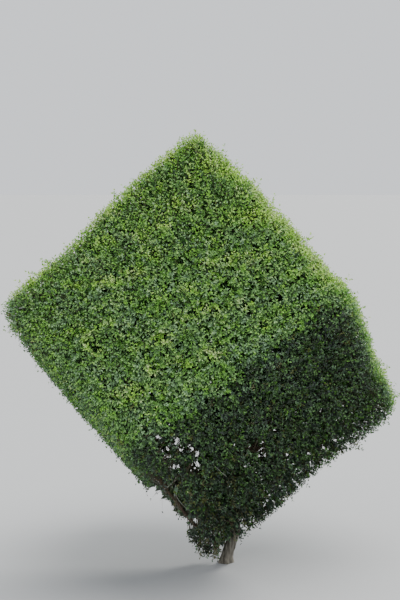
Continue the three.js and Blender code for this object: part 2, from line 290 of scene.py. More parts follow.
# Smooth waves through space: height, length and seed
TUFT = 0.050
BARK_RIDGES = (0.0010, 0.011, 71)
BARK_CRACKS = (0.0006, 0.005, 72)
TRUNK_KNOTS = (0.0012, 0.045, 73)
BOUGH_RIDGES = (0.05, 0.012, 74)
BOUGH_KNOTS = (0.05, 0.05, 75)
SURFACE_WAVES = (0.005, 0.22, 76)
TUFT_WAVES = (0.005, TUFT, 79)
GAP_WAVES = (0.40, 0.05, 78)
BORDER_WAVES = (0.22, 0.10, 81)
TUFT_TONES = (0.30, TUFT, 80)
BROAD_TONES = (0.35, 0.15, 77)
TUFT_KINDS = (0.35, TUFT, 90)
BROAD_KINDS = (0.30, 0.15, 91)

UP = np.array((0.0, 0.0, 1.0))


# Vector helpers

def lengths_of(vectors):
    return np.linalg.norm(vectors, axis=-1)


def unit(vectors):
    return vectors / np.maximum(lengths_of(vectors)[..., None], 1e-12)


def direction_of(azimuth, elevation):
    a = math.radians(azimuth)
    e = math.radians(elevation)
    return np.array((math.sin(a) * math.cos(e), -math.cos(a) * math.cos(e), math.sin(e)))


def across_of(directions):
    """A direction at right angles to each one given."""
    guide = np.where(np.abs(directions[..., 2:3]) > 0.9, np.array((1.0, 0.0, 0.0)), UP)
    return unit(np.cross(directions, guide))


def jitter(rng, reach, size):
    return rng.uniform(-reach, reach, size)


def waves(points, pattern):
    """Smooth waves through space, of the pattern's height, length and seed."""
    height, length, seed = pattern
    rng = np.random.default_rng(seed)
    total = np.zeros(len(points))
    for _ in range(6):
        way = rng.normal(size=3)
        way *= 2 * math.pi / (length * rng.uniform(0.7, 1.4)) / np.linalg.norm(way)
        total += np.sin(points @ way + rng.uniform(0, 2 * math.pi))
    return height * (total / 3)


# Crown faces

class Face:
    def __init__(self, name, azimuth, elevation, distance):
        self.name = name
        self.azimuth = azimuth
        self.distance = distance
        self.normal = direction_of(azimuth, elevation)
        self.across = unit(np.cross(UP, self.normal))
        self.upper = elevation > 0
        self.mass = UPPER_MASS if self.upper else LOWER_MASS


faces = [Face(name, *values) for name, values in FACES.items()]
NORMALS = np.array([face.normal for face in faces])
DISTANCES = np.array([face.distance for face in faces])


def neighbours(face):
    """The four faces around a face, in order round its normal."""
    opposite = min(faces, key=lambda other: other.normal @ face.normal)
    along = np.cross(face.normal, face.across)
    around = [other for other in faces if other not in (face, opposite)]
    return sorted(around, key=lambda o: math.atan2(o.normal @ along, o.normal @ face.across))


def corner_of(*three):
    """The sharp corner, measured from the crown's centre, where three faces' planes meet."""
    return np.linalg.solve([face.normal for face in three], [face.distance for face in three])


def corners_of(face):
    ring = neighbours(face)
    return [corner_of(face, ring[i], ring[(i + 1) % 4]) for i in range(4)]


CORNERS = {face.name: corners_of(face) for face in faces}


def on_face(face, shares):
    """Places on a face's sharp plane from two rows of shares, measured from the centre."""
    a, b, c, d = CORNERS[face.name]
    u, v = (shares[..., None] + 1) / 2
    return (a * (1 - u) + b * u) * (1 - v) + (d * (1 - u) + c * u) * v


def corner_place(*names):
    return corner_of(*(face for face in faces if face.name in names)) + CROWN_CENTRE


TOP = corner_place("upper_front", "upper_right", "upper_left")
FOOT = corner_place("lower_right", "lower_back", "lower_left")
NEAR = corner_place("upper_front", "lower_right", "lower_left")
LEFT = corner_place("upper_front", "upper_left", "lower_left")
RIGHT = corner_place("upper_right", "lower_right", "lower_back")
SHOULDER = corner_place("upper_front", "upper_right", "lower_right")

# Where the clipped surface swells out or sits in: the place, by how much, and how far round it.
# Nearness counts by this factor up to 1, which makes swellings level in the middle.
NEARNESS = 1.6
SWELLS = (
    (TOP, -0.010, 0.35),
    (NEAR, 0.024, 0.16),
    (FOOT, 0.024, 0.20),
    (FOOT * 0.70 + RIGHT * 0.30, 0.016, 0.20),
    (TOP * 0.25 + SHOULDER * 0.75, -0.013, 0.18),
    (SHOULDER * 0.40 + RIGHT * 0.60, -0.014, 0.18),
    (TOP * 0.35 + LEFT * 0.65, -0.013, 0.20),
)


def near_to(points, place, reach):
    return np.clip(NEARNESS * (1 - lengths_of(points - place) / reach), 0, 1)


def swelling(points):
    return sum(amount * near_to(points, place, reach) for place, amount, reach in SWELLS)


def into_rounding(offsets):
    """How far offsets from the crown's centre reach into the rounded shell, by face."""
    return np.maximum(offsets @ NORMALS.T - DISTANCES + EDGE_ROUNDING, 0)


def depth_of(offsets):
    """How deep each offset lies under the clipped surface with its rounded edges."""
    return EDGE_ROUNDING - lengths_of(into_rounding(offsets))


def surface_normals(points):
    """The way the clipped surface faces at each point near it."""
    return unit(into_rounding(points - CROWN_CENTRE) @ NORMALS)


def surface_points(face, shares, depth):
    """Points under places on a face, at depths measured in from the clipped surface."""
    rays = on_face(face, shares)
    shallow = np.minimum(depth, SEARCH_DEEPEST)
    near = np.full(len(rays), SEARCH_SHARES[0])
    far = np.full(len(rays), SEARCH_SHARES[1])
    for _ in range(SEARCH_STEPS):
        middle = (near + far) / 2
        inside = depth_of(rays * middle[:, None]) > shallow
        near = np.where(inside, middle, near)
        far = np.where(inside, far, middle)
    points = rays * near[:, None] - unit(rays) * (depth - shallow)[:, None]
    return points + CROWN_CENTRE


def outward(face, points):
    """The way growth goes at each point: off the centre, off the face and upwards."""
    return unit(unit(points - CROWN_CENTRE) + OFF_FACE * face.normal + UPWARD * UP)


# Trunk and limbs

def trunk_axis(height):
    bend = (np.maximum(height, 0) / TRUNK_TOP) ** TRUNK_BEND
    return np.stack([TRUNK_LEAN[0] * bend, TRUNK_LEAN[1] * bend, height], axis=-1)


def trunk_radius(height, angle):
    flare = TRUNK_FLARE * np.exp(-height / TRUNK_FLARE_HEIGHT)
    lobes = 1 + TRUNK_LOBE_DEPTH * np.cos(TRUNK_LOBES * angle + TRUNK_LOBE_TURN)
    share = np.clip((height - TRUNK_TOP + TRUNK_DOME) / TRUNK_DOME, 0, 1)
    closing = share * share * (3 - 2 * share)
    return (TRUNK_RADIUS + flare * lobes) * (1 - TRUNK_DOME_NARROWING * closing)


def fork_points(out, rise, reach):
    """A limb's foot in the fork and its next place."""
    foot = trunk_axis(TRUNK_TOP - FORK_DEPTH)
    return [foot, foot + UP * rise + out * reach]


def leader_points(face):
    """A leader rises round the plant's axis, opens out in the middle and enters its mass."""
    out = direction_of(face.azimuth, 0)
    fork = fork_points(out, *LEADER_FORK)

    def leaning(share):
        return fork[0] + (CROWN_CENTRE - fork[0]) * share + LEADER_LEAN

    middle = [leaning(share) + out * LEADER_SPREAD * spread for share, spread in LEADER_MIDDLE]
    turn = face.normal * face.distance * LEADER_TURN - UP * LEADER_TURN_DROP
    entry = face.normal * (face.distance * LEADER_ENTRY + LEADER_ENTRY_MARGIN)
    end = face.normal * (face.distance - LEADER_END_DEPTH)
    return [*fork, *middle, *(CROWN_CENTRE + offset for offset in (turn, entry, end))]


def side_bough_points(face):
    """A side bough leaves the fork flatter and runs up under a lower face into its mass."""
    sizes = SIDE_BOUGHS[face.name]
    fork = fork_points(direction_of(sizes["leaves"], 0), *SIDE_BOUGH_FORK)
    middle = CROWN_CENTRE + face.normal * face.distance

    def place(share):
        point = FOOT + (middle - FOOT) * share
        return point - face.normal * sizes["depth"] + face.across * sizes["aside"] * share

    along = sizes["along"]
    shares = (along * SIDE_BOUGH_BEND, along, along + SIDE_BOUGH_PAST)
    return [*fork, *(place(share) for share in shares)]


def smooth_path(points, count):
    """A centripetal Catmull-Rom curve through points, as count + 1 evenly spaced places."""
    points = np.array(points)
    ends = np.vstack([2 * points[0] - points[1], points, 2 * points[-1] - points[-2]])
    fine = []
    for i in range(len(points) - 1):
        p0, p1, p2, p3 = ends[i:i + 4]
        d0, d1, d2 = (np.sqrt(lengths_of(b - a)) for a, b in ((p0, p1), (p1, p2), (p2, p3)))
        m1 = ((p1 - p0) / d0 - (p2 - p0) / (d0 + d1) + (p2 - p1) / d1) * d1
        m2 = ((p2 - p1) / d1 - (p3 - p1) / (d1 + d2) + (p3 - p2) / d2) * d1
        u = np.linspace(0, 1, CURVE_STEPS, endpoint=False)[:, None]
        fine.append(
            p1 * (2 * u ** 3 - 3 * u ** 2 + 1) + p2 * (3 * u ** 2 - 2 * u ** 3)
            + m1 * (u ** 3 - 2 * u ** 2 + u) + m2 * (u ** 3 - u ** 2)
        )
    fine = np.vstack(fine + [points[-1:]])
    reached = np.concatenate([[0], np.cumsum(lengths_of(np.diff(fine, axis=0)))])
    wanted = np.linspace(0, reached[-1], count + 1)
    return np.stack([np.interp(wanted, reached, fine[:, axis]) for axis in range(3)], axis=1)


class Limb:
    """A bough and, past its tip, the stem that carries on in the mass. Its stub is the trunk's."""

    def __init__(self, face):
        sizes = LEADER if face.upper else SIDE_BOUGH
        points = leader_points(face) if face.upper else side_bough_points(face)
        rings = LIMB_RINGS * FINER
        self.path = smooth_path(points, rings)
        self.radii = np.linspace(*sizes["radii"], rings + 1)
        self.stub = sizes["stub"] * FINER
        self.tip = sizes["tip"] * FINER

    def tube(self, start, end, sides, relief=1.0):
        """A tube round one stretch of the limb."""
        return tube_arrays(self.path[None, start:end], self.radii[None, start:end], sides, relief)


LIMBS = {face.name: Limb(face) for face in faces}


def near_wood(points, margin):
    """True for points within a margin of the trunk or a bough."""
    near = np.zeros(len(points), bool)
    for limb in LIMBS.values():
        beads = limb.path[:limb.tip]
        radii = limb.radii[:limb.tip]
        gaps = lengths_of(points[:, None] - beads) - radii
        near |= gaps.min(axis=1) < margin
    low = points[:, 2] < TRUNK_TOP + margin
    middle = trunk_axis(np.clip(points[:, 2], 0, TRUNK_TOP))
    away = lengths_of((points - middle)[:, :2])
    return near | (low & (away < trunk_radius(np.maximum(points[:, 2], 0), 0) + margin))


# Meshes from arrays

def ring_quads(count, rings, sides):
    """The four-sided polygons between neighbouring rings of tubes."""
    grid = np.arange(count * rings * sides).reshape(count, rings, sides)
    turned = np.roll(grid, -1, axis=2)
    quads = np.stack([grid[:, :-1], turned[:, :-1], turned[:, 1:], grid[:, 1:]], axis=-1)
    return quads.reshape(-1, 4)


def tube_arrays(paths, radii, sides, relief=1.0):
    """Tubes round paths of shape (n, rings, 3), as vertices and four-sided polygons."""
    count, rings = radii.shape
    tangents = unit(np.gradient(paths, axis=1))
    across = across_of(unit(paths[:, -1] - paths[:, 0]))[:, None]
    across = unit(across - tangents * np.sum(across * tangents, axis=2, keepdims=True))
    along = np.cross(tangents, across)
    angle = np.arange(sides) / sides * 2 * math.pi
    out = across[:, :, None] * np.cos(angle)[:, None]
    out += along[:, :, None] * np.sin(angle)[:, None]
    vertices = paths[:, :, None] + out * (radii[:, :, None] * relief)[..., None]
    return vertices.reshape(-1, 3), ring_quads(count, rings, sides)


def spike_arrays(bases, tips, radius):
    """Three-sided spikes from bases to tips, as vertices and triangles."""
    along = unit(tips - bases)
    across = across_of(along)
    aside = np.cross(along, across)
    rim = []
    for angle in (0, 2 * math.pi / 3, 4 * math.pi / 3):
        rim.append(bases + (across * math.cos(angle) + aside * math.sin(angle)) * radius)
    vertices = np.stack(rim + [tips], axis=1).reshape(-1, 3)
    first = np.arange(len(bases))[:, None, None] * 4
    triangles = first + np.array([[0, 1, 3], [1, 2, 3], [2, 0, 3]])
    return vertices, triangles.reshape(-1, 3)


def placed(name, data):
    """An object in the scene that holds a mesh, a light or a camera."""
    thing = bpy.data.objects.new(name, data)
    bpy.context.scene.collection.objects.link(thing)
    return thing


def mesh_object(name, vertices, polygons, materials, indices=None, smooth=False):
    mesh = bpy.data.meshes.new(name)
    mesh.vertices.add(len(vertices))
    mesh.vertices.foreach_set("co", vertices.astype(np.float32).ravel())
    mesh.loops.add(polygons.size)
    mesh.loops.foreach_set("vertex_index", polygons.astype(np.int32).ravel())
    mesh.polygons.add(len(polygons))
    mesh.polygons.foreach_set("loop_start", np.arange(0, polygons.size, polygons.shape[1]))
    mesh.polygons.foreach_set("use_smooth", np.full(len(polygons), smooth))
    for material in materials:
        mesh.materials.append(material)
    if indices is not None:
        mesh.polygons.foreach_set("material_index", indices.astype(np.int32))
    mesh.update(calc_edges=True)
    mesh.validate()
    return placed(name, mesh)


def joined_arrays(parts):
    """Several (vertices, polygons) as one."""
    vertices = np.vstack([part[0] for part in parts])
    starts = np.cumsum([0] + [len(part[0]) for part in parts[:-1]])
    quads = np.vstack([part[1] + start for part, start in zip(parts, starts)])
    return vertices, quads


# Materials

def plain_material(name, colour, roughness, specular=0.35):
    material = bpy.data.materials.new(name)
    material.use_nodes = True
    shader = material.node_tree.nodes["Principled BSDF"]
    shader.inputs["Base Color"].default_value = (*colour, 1)
    shader.inputs["Roughness"].default_value = roughness
    shader.inputs["Specular IOR Level"].default_value = specular
    return material


def bark_material(name, dark, light, fineness):
    """Ridged bark: streaks along the limb with fine grain, in colour and in relief."""
    material = bpy.data.materials.new(name)
    material.use_nodes = True
    nodes = material.node_tree.nodes

    def node(kind, **values):
        made = nodes.new("ShaderNode" + kind)
        for socket, value in values.items():
            made.inputs[socket].default_value = value
        return made

    place = node("TexCoord")
    stretch = node("Mapping", Scale=BARK_STRETCH)
    streaks = node("TexNoise", Scale=fineness, Detail=6)
    tones = node("ValToRGB")
    for end, position, colour in zip(tones.color_ramp.elements, (0.36, 0.64), (dark, light)):
        end.position = position
        end.color = (*colour, 1)
    relief = node("Bump", Strength=0.5, Distance=0.0015)
    shader = nodes["Principled BSDF"]
    shader.inputs["Roughness"].default_value = 0.9
    for giver, output, taker, socket in (
        (place, "Object", stretch, "Vector"),
        (stretch, "Vector", streaks, "Vector"),
        (streaks, "Fac", tones, "Fac"),
        (tones, "Color", shader, "Base Color"),
        (streaks, "Fac", relief, "Height"),
        (relief, "Normal", shader, "Normal"),
    ):
        material.node_tree.links.new(giver.outputs[output], taker.inputs[socket])
    return material


# The scale of leaf tones from the freshest and most brightly lit to the darkest and most deeply
# shaded, and an olive one off the scale, each with its roughness and gloss. The scale carries
# painted light and shade: each shoot's place on it follows how the sky and the sun light its part
# of the crown.
LEAF_TONES = {
    "leaf_bright": ((0.375, 0.550, 0.145), 0.60, 0.15),
    "leaf_fresh_lit": ((0.245, 0.435, 0.113), 0.60, 0.15),
    "leaf_light": ((0.170, 0.330, 0.105), 0.56, 0.18),
    "leaf_green": ((0.124, 0.253, 0.085), 0.52, 0.20),
    "leaf_deep": ((0.066, 0.142, 0.047), 0.34, 0.50),
    "leaf_dark": ((0.031, 0.061, 0.027), 0.32, 0.50),
    "leaf_dusk": ((0.013, 0.028, 0.013), 0.36, 0.50),
    "leaf_olive": ((0.120, 0.140, 0.040), 0.50, 0.35),
}
DARKEST = list(LEAF_TONES).index("leaf_dusk")
OLIVE = list(LEAF_TONES).index("leaf_olive")

# Each tone comes in three kinds, whose red and blue are these shares of the plain one's
LEAF_KINDS = {"_vivid": (0.86, 0.55), "_plain": (1.0, 1.0), "_grey": (1.16, 1.6)}
KIND_BORDERS = (-0.5, 0.5)
KIND_SPREAD = 0.75
HIGH_VIVID = 0.40
LOW_GREY = 0.6

# The tone of a shoot, as a place on the scale, by how far the clipped surface faces the sky:
# painted light and shade, lighter where the surface faces up and darker where it faces down
TONE_EXPOSURES = (-0.60, -0.42, -0.28, -0.05, 0.10, 0.30, 0.45, 0.70)
TONES_THERE = (4.45, 4.25, 3.7, 2.1, 2.05, 2.35, 1.0, 0.55)

# Painted light and shade: the tone gets lighter on the sunny side and on the open side, and darker
# deeper in the crown and near the ground. It also changes with the height and the joint, lighter
# high up and towards the shoot's tip. On the open side it is at most OPEN_TONE. The share of olive
# leaves grows towards the ground.
SUNNY_TONE = -1.0
OPEN_TONE = 2.25
OPEN_BAND = (0.38, 0.46)
HIGH_TONE = -0.30
HIGH_BAND = (1.0, 1.6)
LOW_TONE = 1.15
LOW_BAND = (0.55, 0.0)
DEEP_TONE = 12
DEEPEST_SHADE = 0.07
JOINT_TONES = (0.80, -0.50)
LOW_OLIVE_SHARE = 0.24


leaf_materials = [
    plain_material(name + kind, (red * red_share, green, blue * blue_share), roughness, gloss)
    for name, ((red, green, blue), roughness, gloss) in LEAF_TONES.items()
    for kind, (red_share, blue_share) in LEAF_KINDS.items()
]
trunk_bark = bark_material(
    "trunk_bark", dark=(0.06, 0.052, 0.038), light=(0.24, 0.22, 0.18), fineness=90
)
bough_bark = bark_material(
    "bough_bark", dark=(0.04, 0.024, 0.017), light=(0.15, 0.095, 0.068), fineness=140
)
twig_bark = plain_material("twig_bark", (0.085, 0.055, 0.032), 0.8)
shoot_bark = plain_material("shoot_bark", (0.105, 0.090, 0.055), 0.7)
# Pale grey: partly the bleached colour of bare twigs and partly painted light, which lifts them
# out of the crown's shade
pale_bark = plain_material("pale_bark", (0.43, 0.42, 0.37), 0.8)


# Wood

def closed_tube(rows):
    """A tube through rows of points of shape (rings, sides, 3)."""
    rings, sides = rows.shape[:2]
    corners = np.arange(rings * sides).tolist()
    ends = [corners[:sides][::-1], corners[-sides:]]
    return rows.reshape(-1, 3), ring_quads(1, rings, sides).tolist() + ends


def trunk_rows():
    angle = np.arange(TRUNK_SIDES) / TRUNK_SIDES * 2 * math.pi
    circle = np.stack([np.cos(angle), np.sin(angle), 0 * angle], axis=1)
    heights = np.linspace(0, TRUNK_TOP, TRUNK_RINGS)[:, None]
    return trunk_axis(heights) + circle * trunk_radius(heights, angle)[..., None]


def fused_trunk():
    """The trunk and its limbs' stubs, grown into one body with fine facets."""
    vertices = []
    polygons = []
    tubes = [closed_tube(trunk_rows())]
    for limb in LIMBS.values():
        points, _ = limb.tube(0, limb.stub + 1, STUB_SIDES)
        tubes.append(closed_tube(points.reshape(-1, STUB_SIDES, 3)))
    for points, sides in tubes:
        start = len(vertices)
        vertices.extend(points.tolist())
        polygons.extend([[corner + start for corner in side] for side in sides])
    mesh = bpy.data.meshes.new("trunk_rough")
    mesh.from_pydata(vertices, [], polygons)
    rough = placed("trunk_rough", mesh)
    fused = rough.modifiers.new("fused", "REMESH")
    fused.mode = "VOXEL"
    fused.voxel_size = BARK_GRAIN
    eased = rough.modifiers.new("eased", "SMOOTH")
    eased.iterations = 3
    graph = bpy.context.evaluated_depsgraph_get()
    grown = bpy.data.meshes.new_from_object(rough.evaluated_get(graph))
    bpy.data.objects.remove(rough)
    return grown


def vertex_values(mesh, name):
    values = np.empty(len(mesh.vertices) * 3)
    mesh.vertices.foreach_get(name, values)
    return values.reshape(-1, 3)


def trunk_piece():
    """Ridges, cracks and knots on the fused trunk, and a flat cut at the ground."""
    mesh = fused_trunk()
    places = vertex_values(mesh, "co")
    along_grain = places * BARK_STRETCH
    relief = waves(along_grain, BARK_RIDGES) + waves(along_grain, BARK_CRACKS)
    relief += waves(places, TRUNK_KNOTS)
    places = places + vertex_values(mesh, "normal") * relief[:, None]
    places[:, 2] = np.where(places[:, 2] < CUT_HEIGHT, 0, places[:, 2])
    mesh.vertices.foreach_set("co", places.ravel())
    mesh.polygons.foreach_set("use_smooth", np.full(len(mesh.polygons), True))
    mesh.materials.clear()
    mesh.materials.append(trunk_bark)
    mesh.update()
    return placed("trunk_bark", mesh)


def limb_piece(face):
    """A bough's bark, from just inside its stub to its tip."""
    limb = LIMBS[face.name]
    span = (limb.stub - BARK_OVERLAP, limb.tip + 1, BOUGH_SIDES)
    points, _ = limb.tube(*span)
    relief = 1 + waves(points * BOUGH_STRETCH, BOUGH_RIDGES) + waves(points, BOUGH_KNOTS)
    vertices, quads = limb.tube(*span, relief.reshape(1, -1, BOUGH_SIDES))
    return mesh_object("bark_" + face.name, vertices, quads, [bough_bark], smooth=True)


# Growth

def curves(starts, leaving, arriving, ends, steps):
    """Curves of shape (n, steps + 1, 3) that leave and arrive with the pulls given."""
    u = np.linspace(0, 1, steps + 1)[:, None]
    p0, p1, p2, p3 = (p[:, None] for p in (starts, starts + leaving, ends - arriving, ends))
    return p0 * (1 - u) ** 3 + 3 * p1 * u * (1 - u) ** 2 + 3 * p2 * u ** 2 * (1 - u) + p3 * u ** 3


def tapers(radii, steps, count):
    """Radii that change evenly from foot to tip, alike for each path."""
    return np.repeat(np.linspace(*radii, steps + 1)[None], count, axis=0)


def along_paths(paths, shares):
    """The place at a share of each path's rings, one share for each path."""
    steps = paths.shape[1] - 1
    at = np.clip(shares, 0, 1) * steps
    low = np.minimum(at.astype(int), steps - 1)
    rest = (at - low)[:, None]
    rows = np.arange(len(paths))
    return paths[rows, low] * (1 - rest) + paths[rows, low + 1] * rest


def cell_middles(cells):
    """The middles of a grid of cells on a face, as two rows of shares from -1 to 1."""
    steps = (np.arange(cells) + 0.5) / cells * 2 - 1
    return np.reshape(np.meshgrid(steps, steps), (2, -1))


def cell_places(cells, rng, reach):
    """A place in each cell of such a grid, up to a share of the cell from its middle."""
    return cell_middles(cells) + jitter(rng, reach, (2, cells ** 2)) * (2 / cells)


def grow_branches(face, rng):
    """One branch from the mass's stem to each cell of the face, as paths and radii."""
    count = BRANCH_CELLS ** 2
    shares = cell_places(BRANCH_CELLS, rng, BRANCH_JITTER)
    depth = BRANCH_END_DEPTH + jitter(rng, BRANCH_END_SPREAD, count)
    ends = surface_points(face, shares, depth)
    limb = LIMBS[face.name]
    stem = limb.path[limb.tip:]
    reach = lengths_of(ends - stem[-1])
    share = 1 - reach / reach.max() + jitter(rng, BRANCH_START_SPREAD, count)
    index = (np.clip(share, BRANCH_LOWEST_START, 1) * (len(stem) - 2)).astype(int)
    starts = stem[index]
    heading = unit(stem[index + 1] - stem[index])
    length = lengths_of(ends - starts)[:, None]
    leaving = (heading + unit(ends - starts)) / 2 * length * BRANCH_PULLS[0]
    arriving = outward(face, ends) * length * BRANCH_PULLS[1]
    paths = curves(starts, leaving, arriving, ends, BRANCH_STEPS)
    thickening = np.clip(length / BRANCH_LENGTH, *BRANCH_THICKENING)
    return paths, tapers(BRANCH_RADII, BRANCH_STEPS, count) * thickening


def grow_branchlets(face, paths, rng):
    """Branchlets from the outer part of each branch to the parts of its cell."""
    branch = np.repeat(np.arange(len(paths)), BRANCHLET_CELLS ** 2)
    count = len(branch)
    cell = 2 / BRANCH_CELLS
    parts = np.tile(cell_places(BRANCHLET_CELLS, rng, 0.0), len(paths)) * cell / 2
    reach = BRANCHLET_JITTER * cell / BRANCHLET_CELLS
    shares = cell_middles(BRANCH_CELLS)[:, branch] + parts + jitter(rng, reach, (2, count))
    surface = surface_points(face, shares, np.zeros(count))
    depth = BRANCHLET_END_DEPTH + jitter(rng, BRANCHLET_END_SPREAD, count) - swelling(surface)
    ends = surface_points(face, shares, depth)
    starts = along_paths(paths[branch], rng.uniform(*BRANCHLET_STARTS, count))
    length = lengths_of(ends - starts)[:, None]
    out = outward(face, ends)
    leaving = (unit(ends - starts) + BRANCHLET_LIFT * out) * length * BRANCHLET_PULLS[0]
    arriving = out * length * BRANCHLET_PULLS[1]
    grown = curves(starts, leaving, arriving, ends, BRANCHLET_STEPS)
    return grown, tapers(BRANCHLET_RADII, BRANCHLET_STEPS, count)


class Shoots(NamedTuple):
    """Leafy shoots by their bases, their tips and how deep the tips lie."""

    bases: np.ndarray
    tips: np.ndarray
    depth: np.ndarray


def nearest_branchlet(shares):
    """The branchlet whose part of the face holds each place."""
    parts = BRANCH_CELLS * BRANCHLET_CELLS
    column, row = np.clip(((shares + 1) / 2 * parts).astype(int), 0, parts - 1)
    branch = row // BRANCHLET_CELLS * BRANCH_CELLS + column // BRANCHLET_CELLS
    part = row % BRANCHLET_CELLS * BRANCHLET_CELLS + column % BRANCHLET_CELLS
    return branch * BRANCHLET_CELLS ** 2 + part


def grow_bare_twigs(face, paths, rng):
    """A few leafless twigs from low branchlets, as paths and radii."""
    low = np.flatnonzero(paths[:, -1, 2] < BARE_TWIG_HEIGHT)
    lot = rng.choice(low, min(BARE_TWIGS, len(low)), replace=False)
    starts = paths[lot, -2]
    out = outward(face, starts)
    aside = unit(np.cross(out, rng.normal(size=out.shape)))
    length = rng.uniform(*BARE_TWIG_LENGTH, len(lot))[:, None]
    ends = starts + out * BARE_TWIG_OUT[1] + aside * length
    leaving = out * BARE_TWIG_OUT[0]
    grown = curves(starts, leaving, aside * length * BARE_TWIG_PULL, ends, BARE_TWIG_STEPS)
    keep = ~near_wood(ends, BARE_TWIG_CLEARANCE) & (ends[:, 2] > LOWEST)
    return grown[keep], tapers(BARE_TWIG_RADII, BARE_TWIG_STEPS, keep.sum())


def in_photo(points):
    """Where points lie in the photograph: pixels across and down, and how far off they are."""
    pitch = math.radians(VIEW_PITCH)
    seen = points - VIEWER
    forward = seen @ (0, math.cos(pitch), -math.sin(pitch))
    rise = seen @ (0, math.sin(pitch), math.cos(pitch))
    across = PHOTO_MIDDLE[0] + FOCAL_PIXELS * seen[:, 0] / forward
    down = PHOTO_MIDDLE[1] - FOCAL_PIXELS * rise / forward
    return across, down, forward


def forked_twigs():
    """The bare twigs that fork off the lower left bough, as paths and radii."""
    beads = LIMBS["lower_left"].path
    across, down, away = in_photo(beads)
    paths = []
    for foot, tip in FORKED_TWIGS:
        bead = np.hypot(across - foot[0], down - foot[1]).argmin()
        reach = np.array((tip[0] - foot[0], -FORKED_TWIG_NEARER, foot[1] - tip[1]))
        end = beads[bead] + reach * (away[bead] / FOCAL_PIXELS)
        paths.append(np.linspace(beads[bead], end, FORKED_TWIG_STEPS + 1))
    return np.array(paths), tapers(FORKED_TWIG_RADII, FORKED_TWIG_STEPS, len(paths))


def in_spots(points, spots, widening=1.0):
    """True for points within the radius of a spot in the photograph."""
    across, down, _ = in_photo(points)
    inside = np.zeros(len(points), bool)
    for spot_across, spot_down, radius in spots:
        inside |= np.hypot(across - spot_across, down - spot_down) < radius * widening
    return inside


def before_trunk(points):
    """True for points that would hide the lowest part of the trunk from the viewer."""
    aside = points - trunk_axis(np.clip(points[:, 2], 0, TRUNK_TOP))
    return (points[:, 2] < CLEAR_HEIGHT) & (np.abs(aside[:, 0]) < CLEAR_WIDTH) & (aside[:, 1] < 0)


def hiding(points, beads, reach):
    """True for points that hide beads from the viewer, with each point's gap and bead."""
    across, down, away = in_photo(points)
    bead_across, bead_down, bead_away = in_photo(beads)
    gaps = np.hypot(across[:, None] - bead_across, down[:, None] - bead_down)
    nearest = gaps.argmin(axis=1)
    gap = gaps.min(axis=1)
    return (away < bead_away[nearest]) & (gap < reach), gap, nearest


def from_middle(points):
    """How far points lie from the crown's middle in the photograph."""
    across, down, _ = in_photo(points)
    middle_across, middle_down, _ = in_photo(CROWN_CENTRE[None])
    return np.hypot(across - middle_across, down - middle_down)


def in_thin_part(points, width):
    """True for points that would hide the lower left bough or its twigs, or lie outside it."""
    beads = LIMBS["lower_left"].path[:-THIN_HIDDEN_RINGS]
    beads = beads[in_photo(beads)[1] < THIN_LOWEST]
    before, gap, nearest = hiding(points, beads, THIN_REACH * width)
    twigs = forked_twigs()[0].reshape(-1, 3)
    before_twigs = hiding(points, twigs, FORKED_TWIG_REACH * width)[0]
    outside = from_middle(points) > from_middle(beads)[nearest] + THIN_MARGIN / width
    outside &= (gap < THIN_SIDE) & (nearest < len(beads) - 1)
    return before_twigs | before | outside


def opened(points, width=1.0):
    """True for low points in a light gap or in the thin part, at a share of their width."""
    low = points[:, 2] < CROWN_CENTRE[2]
    near = points[low]
    ragged = LIGHT_GAP_REACH + waves(near, GAP_WAVES)
    gone = np.zeros(len(points), bool)
    gone[low] = in_spots(near, LIGHT_GAPS, ragged * width) | in_thin_part(near, width)
    return gone


def outer_depths(surface, rng):
    """How deep the tips of outer shoots end under places on the clipped surface."""
    count = len(surface)
    depth = rng.uniform(*OUTER_DEPTH, count) + waves(surface, SURFACE_WAVES)
    depth += waves(surface, TUFT_WAVES)
    stray = rng.random(count) < STRAY_SHARE
    depth = np.where(stray, -rng.uniform(*STRAY_REACH, count), depth)
    sprigs = in_spots(surface, SPRIGS) & (rng.random(count) < SPRIG_SHARE)
    depth = np.where(sprigs, -rng.uniform(*SPRIG_REACH, count), depth)
    depth -= DROOP * rng.random(count) * near_to(surface, FOOT, DROOP_REACH)
    return depth - swelling(surface)


def grow_shoots(face, paths, inner, rng):
    """Leafy shoots from the branchlets, up to the clipped surface or to places under it."""
    cells = face.mass["inner" if inner else "outer"]
    shares = np.clip(cell_places(cells, rng, SHOOT_JITTER), -FACE_EDGE, FACE_EDGE)
    count = cells ** 2
    if inner:
        depth = rng.uniform(*INNER_DEPTH, count)
    else:
        depth = outer_depths(surface_points(face, shares, np.zeros(count)), rng)
    tips = surface_points(face, shares, depth)
    length = rng.uniform(*SHOOT_LENGTH, count)
    wander = SHOOT_WANDER / (BRANCH_CELLS * BRANCHLET_CELLS)
    lot = nearest_branchlet(shares + rng.normal(0, wander, (2, count)))
    sunk = depth + SHOOT_SINKING * length - BRANCHLET_END_DEPTH
    share = 1 - sunk / (BRANCH_END_DEPTH - BRANCHLET_END_DEPTH)
    bases = along_paths(paths[lot], share)
    gone = near_wood(tips, SHOOT_TIP_CLEARANCE) | near_wood(bases, SHOOT_FOOT_CLEARANCE)
    gone |= before_trunk(tips) | opened(tips, SHOOTLESS_WIDTH)
    keep = ~gone & (tips[:, 2] > SHOOT_LOWEST)
    return Shoots(bases[keep], tips[keep], depth[keep])


